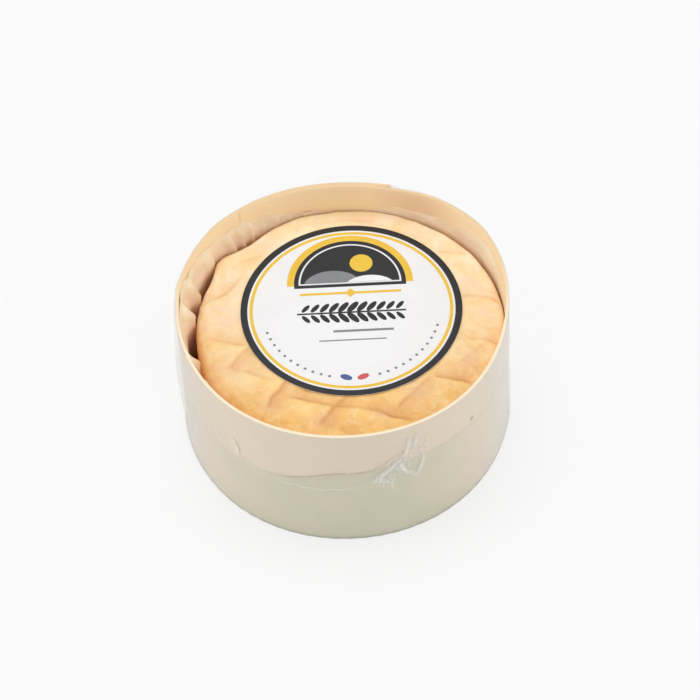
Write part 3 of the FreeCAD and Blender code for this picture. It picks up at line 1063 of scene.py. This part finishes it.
# A landscape under an arch
motif(GOLD, 0, 0.30, 1, 0.575, 0.575, 96, cut_below=0.285)
motif(DARK, 0, 0.30, 2, 0.51, 0.51, 96, cut_below=0.255)
motif(WHITE, 0, 0.30, 3, 0.468, 0.468, 96, cut_below=0.29)
motif(DARK, 0, 0.30, 4, 0.452, 0.452, 96, cut_below=0.305)
motif(GOLD, 0.11, 0.53, 5, 0.105, 0.105, 48)
motif(GREY, -0.16, 0.25, 6, 0.27, 0.20, 64, cut_below=0.305)
motif(WHITE, 0.18, 0.22, 7, 0.24, 0.16, 64, cut_below=0.305)
# A gold bar with a diamond
motif(GOLD, 0, 0.18, 1, 0.46, 0.014, 4)
motif(GOLD, 0, 0.18, 2, 0.036, 0.036, 4, turn=45)
# A leafy sprig
motif(DARK, 0, -0.05, 2, 0.49, 0.009, 4)
for number in range(-5, 6):
    size = 0.075 * (1 - 0.06 * abs(number))
    for side in (-1, 1):
        motif(DARK, number * 0.085 + 0.014, -0.05 + side * 0.062, 1, size, size * 0.4, 24, turn=side * 50)
# Rules, dots and a pair of petals
motif(GREY, 0.10, -0.265, 1, 0.27, 0.013, 4)
motif(GREY, 0, -0.37, 1, 0.30, 0.007, 4)
for number in range(11):
    for side in (-1, 1):
        turn = math.radians(-90 + side * (16 + 5.6 * number))
        motif(GREY, 0.80 * math.cos(turn), 0.80 * math.sin(turn), 1, 0.014, 0.014, 12)
motif(BLUE, -0.075, -0.79, 1, 0.055, 0.030, 24, turn=-22)
motif(RED, 0.075, -0.79, 1, 0.055, 0.030, 24, turn=22)
print(len(motifs), "motifs")

# %% Joined print
deselect()
for piece in motifs:
    piece.select_set(True)
bpy.context.view_layer.objects.active = motifs[0]
bpy.ops.object.join()
label_print = named("label_print")
label_print.data.transform(label_print.matrix_world)
label_print.matrix_world.identity()
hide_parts("label")
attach(label_print, "root")
print("print:", len(label_print.data.polygons), "faces")

# %% [markdown]
# ## The clear wrap
# Shrink film hugs the outside of the box. It is hardly seen where it lies tight, but it greys the
# wood a little where it stands off, and its folds catch the light as white streaks. The skin is spun
# with narrow columns at the front, where the folds are, and pushed out by the height of each fold.

# %% Film measures
FILM_PLAY = 0.1 * MM
FILM_THICK = 0.05 * MM
FINE_FROM, FINE_TO = 198, 322
random.seed(11)


def loose_line(angle):
    """Height of the line at the front below which the film stands off the wood."""
    return (28.2 + 4.9 * ease((angle - 244) / 24) + 2.3 * ease((angle - 272) / 16)) * MM


# Each fold is a run of (angle, height in mm) places, with how far it stands out and its half-width,
# both in mm. Small folds follow by chance, gathered at the front and along the left. dark_fold is
# where the film turns away from the wood, and a line of painted shadow lies along it. A haze is a
# patch of painted highlight, given as (angle, height in mm, size in mm, strength).
folds = [
    ([(232, 25.0), (238, 26.6), (246, 25.9), (258, 25.5), (268, 26.0), (274, 26.9), (277, 28.2)],
     0.20, 0.62),
    ([(276.2, 27.6), (278.8, 29.6), (281.6, 32.2), (284.4, 34.7), (286.3, 36.2)], 0.50, 0.85),
    ([(286.0, 35.8), (288.2, 38.9), (289.0, 41.0), (289.5, 45.4)], 0.45, 0.72),
    ([(286.2, 36.6), (286.6, 33.3), (287.7, 30.9), (289.4, 28.6)], 0.55, 0.80),
    ([(291.4, 24.8), (292.7, 28.6), (294.2, 32.6), (295.0, 35.8)], 0.42, 0.72),
    ([(289.2, 30.8), (291.8, 25.8)], 0.34, 0.70),
    ([(291.0, 38.6), (291.8, 42.9), (292.5, 46.0)], 0.26, 0.70),
    ([(277.2, 27.8), (281.0, 28.4), (283.2, 26.2), (284.0, 22.2)], 0.38, 0.80),
    ([(279.0, 27.2), (282.6, 29.8), (286.0, 30.2)], 0.30, 0.80),
    ([(227.6, 36.3), (228.9, 33.6), (229.9, 31.7), (229.7, 29.0)], 0.50, 0.60),
    ([(229.7, 29.4), (232.5, 27.6), (236.5, 26.6)], 0.16, 0.45),
]
dark_fold = [(270, 32.9), (276.3, 33.4), (279.6, 34.9), (283.0, 37.3), (286.1, 39.0), (289.5, 40.3)]
for _ in range(26):
    place = random.uniform(278, 295)
    low = random.uniform(24, 33) + 0.35 * (place - 280)
    tip = (place + random.uniform(-0.8, 2.2), low + random.uniform(2, 6))
    folds.append(([(place, low), tip], random.uniform(0.14, 0.34), random.uniform(0.36, 0.62)))
for number in range(12):
    place = 197 + 2.1 * number + random.uniform(-0.5, 0.5)
    low = 22.6 + 0.30 * (place - 197) + random.uniform(-1, 1)
    tip = (place - 0.8, low + random.uniform(3, 6))
    folds.append(([(place, low), tip], random.uniform(0.10, 0.2), 0.45))
highlight_patches = ((280, 29.4, 3.6, 1.0), (286.5, 33.5, 4.2, 1.0), (293, 30, 3.2, 0.7), (289.5, 42, 3.2, 0.5))
ARC = math.radians(1) * BOX_RADIUS


def distance_to(angle, z, places):
    """Distance from a place on the film to a run of places, and how far along the run it is nearest."""
    nearest, share_there = 1.0, 0.0
    count = len(places) - 1
    for number, ((a0, z0), (a1, z1)) in enumerate(zip(places, places[1:])):
        run_x, run_z = (a1 - a0) * ARC, (z1 - z0) * MM
        off_x, off_z = (angle - a0) * ARC, z - z0 * MM
        share = (off_x * run_x + off_z * run_z) / (run_x ** 2 + run_z ** 2)
        share = min(max(share, 0.0), 1.0)
        distance = math.hypot(off_x - run_x * share, off_z - run_z * share)
        if distance < nearest:
            nearest, share_there = distance, (number + share) / count
    return nearest, share_there


reaches = []
for places, _, _ in folds:
    angles, levels = zip(*places)
    reaches.append((min(angles) - 2, max(angles) + 2, (min(levels) - 1.5) * MM, (max(levels) + 1.5) * MM))


def fold_at(angle, z):
    """Height of the folds at a place on the film, in metres, and from 0 to 1 how strong the painted
    highlight is on them and on the hazy patches.
    """
    high = white = 0.0
    wobble = 0.22 * MM * noise.noise(Vector((angle / 1.2, z / MM / 1.6, 6.1)))
    for (places, fold_high, wide), (left, right, low, top) in zip(folds, reaches):
        if left < angle < right and low < z < top:
            distance, share = distance_to(angle, z, places)
            hill = math.sin(math.pi * (0.05 + 0.9 * share)) ** 0.5
            hill *= math.exp(-((distance + wobble) / (wide * MM)) ** 2)
            high = max(high, fold_high * MM * hill)
            white = max(white, hill * min(0.2 + 1.3 * fold_high, 0.9))
    for place, level, wide, strength in highlight_patches:
        away = math.hypot((angle - place) * ARC, z - level * MM) / (wide * MM)
        grainy = 0.42 + 1.3 * noise.noise(Vector((angle / 0.9, z / MM / 1.1, 2.2)))
        white = max(white, strength * math.exp(-away ** 2) * min(max(grainy, 0.0), 1.0))
    return high, min(white, 1.0)


def shadow_line_at(angle, z):
    """From 0 to 1 how much painted shadow lies along the soft line where the film turns away from the wood.
    """
    if 268 < angle < 292 and z > loose_line(angle):
        distance, share = distance_to(angle, z, dark_fold)
        return (1 - 0.6 * share) * math.exp(-(distance / (0.5 * MM)) ** 2)
    edge = math.exp(-((z - loose_line(angle)) / (0.55 * MM)) ** 2)
    return edge * ease((angle - 236) / 16) * (1 - 0.65 * ease((angle - 274) / 12)) * ease((322 - angle) / 14)


print(len(folds), "folds in the film")

# %% Film skin
film_rows = [0.1 * MM, 0.5 * MM] + rows(1.2 * MM, 19 * MM, 10) + rows(19.4 * MM, 48.6 * MM, 74)
film_rows += [49.3 * MM, 49.75 * MM, 49.98 * MM]
fine_arc = FINE_TO - FINE_FROM
film = spun_wall("film_wrap_skin", [polar(FINE_FROM, 51 * MM, z) for z in film_rows],
                 [(fine_arc, 300), (360 - fine_arc, 190)])
close_wall(film)


def film_standoff(angle, z):
    """How far the film stands off the outer layer of wood, before its folds. Past the seam it steps in."""
    past = SEAM - angle
    step = -END_SPRING * ease((7 + past) / 7) * (1 - ease(past / 3))
    if 0.6 < past < LAP_EASE:
        step += lap_inset(LAP + past) * ease((past - 0.6) / 3)
    down = 1 - z / BOX_HIGH
    loose = bump(angle, 185, 19) * (0.45 + 1.0 * math.sin(math.pi * min(down * 1.15, 1)) ** 2)
    loose += 0.45 * bump(angle, 352, 9) * down
    below = ease((loose_line(angle) - z) / (1.6 * MM))
    slack = 0.2 * below * bump(angle, 268, 62)
    ripple = 0.06 * noise.noise(Vector((angle / 6, z / MM / 16, 1.3)))
    ripple += 0.05 * noise.noise(Vector((angle / 1.8, z / MM / 9, 4.3))) * below
    return (loose + slack + ripple) * MM - step


def shape_film(vertex):
    """Moves the even skin out to the wood, then off it where it is loose, folded or gathered."""
    angle, _, z = place_of(vertex)
    high, _ = fold_at(angle, z)
    at_edge = ease(z / (1.5 * MM)) * ease((BOX_HIGH - z) / (1.2 * MM))
    gathered = 0.12 * MM * math.sin(math.radians(angle) * 70) * (1 - ease(z / (2.5 * MM)))
    gathered *= 0.4 + 0.6 * abs(noise.noise(Vector((angle / 15, 9.1, 0))))
    tuck = 0.25 * MM * (1 - ease(z / (0.9 * MM)))
    wide = box_outside(angle, z) + FILM_PLAY + (film_standoff(angle, z) + high) * (0.35 + 0.65 * at_edge)
    return polar(angle, wide + gathered - tuck, z) - vertex.co


push(film, shape_film)
loose_masks = []
for vertex in film.data.vertices:
    angle, _, z = place_of(vertex)
    below = ease((loose_line(angle) - z) / (0.9 * MM)) * ease((angle - 196) / 50) * ease((332 - angle) / 34)
    # Painted reflection: the film is whiter at the sides, where it is seen at a slant, and less so at the
    # back.
    side_reflection = ease((abs(turn_from(angle, 268)) - 38) / 40) * (1 - 0.75 * bump(angle, 90, 50))
    loose_masks.append((fold_at(angle, z)[1], below, shadow_line_at(angle, z), side_reflection))
for number, name in enumerate(("fold", "loose", "line", "side_reflection")):
    paint(film, name, lambda vertex: loose_masks[vertex.index][number])
add_modifier(film, "SOLIDIFY", thickness=FILM_THICK, offset=1)
apply_modifiers(film)
bpy.ops.object.shade_smooth_by_angle(angle=math.radians(60))
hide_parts("film_wrap")
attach(film, "root")
print("film:", len(film.data.polygons), "faces")

# %% [markdown]
# ### Film finish
# Clear film has hardly any colour of its own, so Alpha says how much of it is seen: a faint veil all
# over, more where it stands off the wood, and most in a fold, which carries a nearly white painted
# highlight. At the sides a whiter veil is painted reflection, and a dark tone along the line where the
# film turns away from the wood and along its foot is painted shadow. The masks were painted on the
# mesh together with its shape, so that the painted highlight lies exactly on the folds.

# %% Film material
clear_film, tree, shader = new_material("clear film", roughness=0.18, specular_ior_level=0.7)
places = add_node(tree, "TexCoord").outputs
haze_noise = noise_of(tree, stretched(tree, places["Object"], (60, 60, 60)), 1, 3)
fold_highlight_mask = painted(tree, "fold")
loose_mask = painted(tree, "loose")
shadow_line_mask = painted(tree, "line")
side_reflection_mask = painted(tree, "side_reflection")
height_up = add_node(tree, "SeparateXYZ", {0: places["Object"]}).outputs["Z"]
# Painted shadow: a dark band along the film's lowest millimetre, at the box's foot.
foot_shadow = ranged(tree, height_up, 1.1 * MM, 0.4 * MM)
haze = mixed(tree, loose_mask, colour(240, 236, 230), colour(218, 230, 210))
# Painted reflection: a whiter film at the sides.
haze = mixed(tree, side_reflection_mask, haze, colour(250, 252, 250))
# Painted shadow: a dark line where the film turns away from the wood.
haze = mixed(tree, shadow_line_mask, haze, colour(176, 156, 128))
# Painted highlight: nearly white on the folds and the hazy patches.
haze = mixed(tree, fold_highlight_mask, haze, colour(252, 252, 250))
tree.links.new(mixed(tree, foot_shadow, haze, colour(140, 146, 140)), shader["Base Color"])
all_over = ranged(tree, haze_noise, 0.3, 0.7, 0.03, 0.08)
veil = sums(tree, "ADD", sums(tree, "MULTIPLY", loose_mask, 0.12), all_over)
veil = sums(tree, "ADD", veil, sums(tree, "MULTIPLY", side_reflection_mask, 0.24))
veil = sums(tree, "MAXIMUM", veil, sums(tree, "MULTIPLY", shadow_line_mask, 0.20))
veil = sums(tree, "MAXIMUM", veil, sums(tree, "MULTIPLY", fold_highlight_mask, 0.72))
veil = sums(tree, "MAXIMUM", veil, sums(tree, "MULTIPLY", foot_shadow, 0.5))
tree.links.new(veil, shader["Alpha"])
tree.links.new(bumped(tree, haze_noise, 0.2, 0.1 * MM), shader["Normal"])
film.data.materials.append(clear_film)
print("film finished")
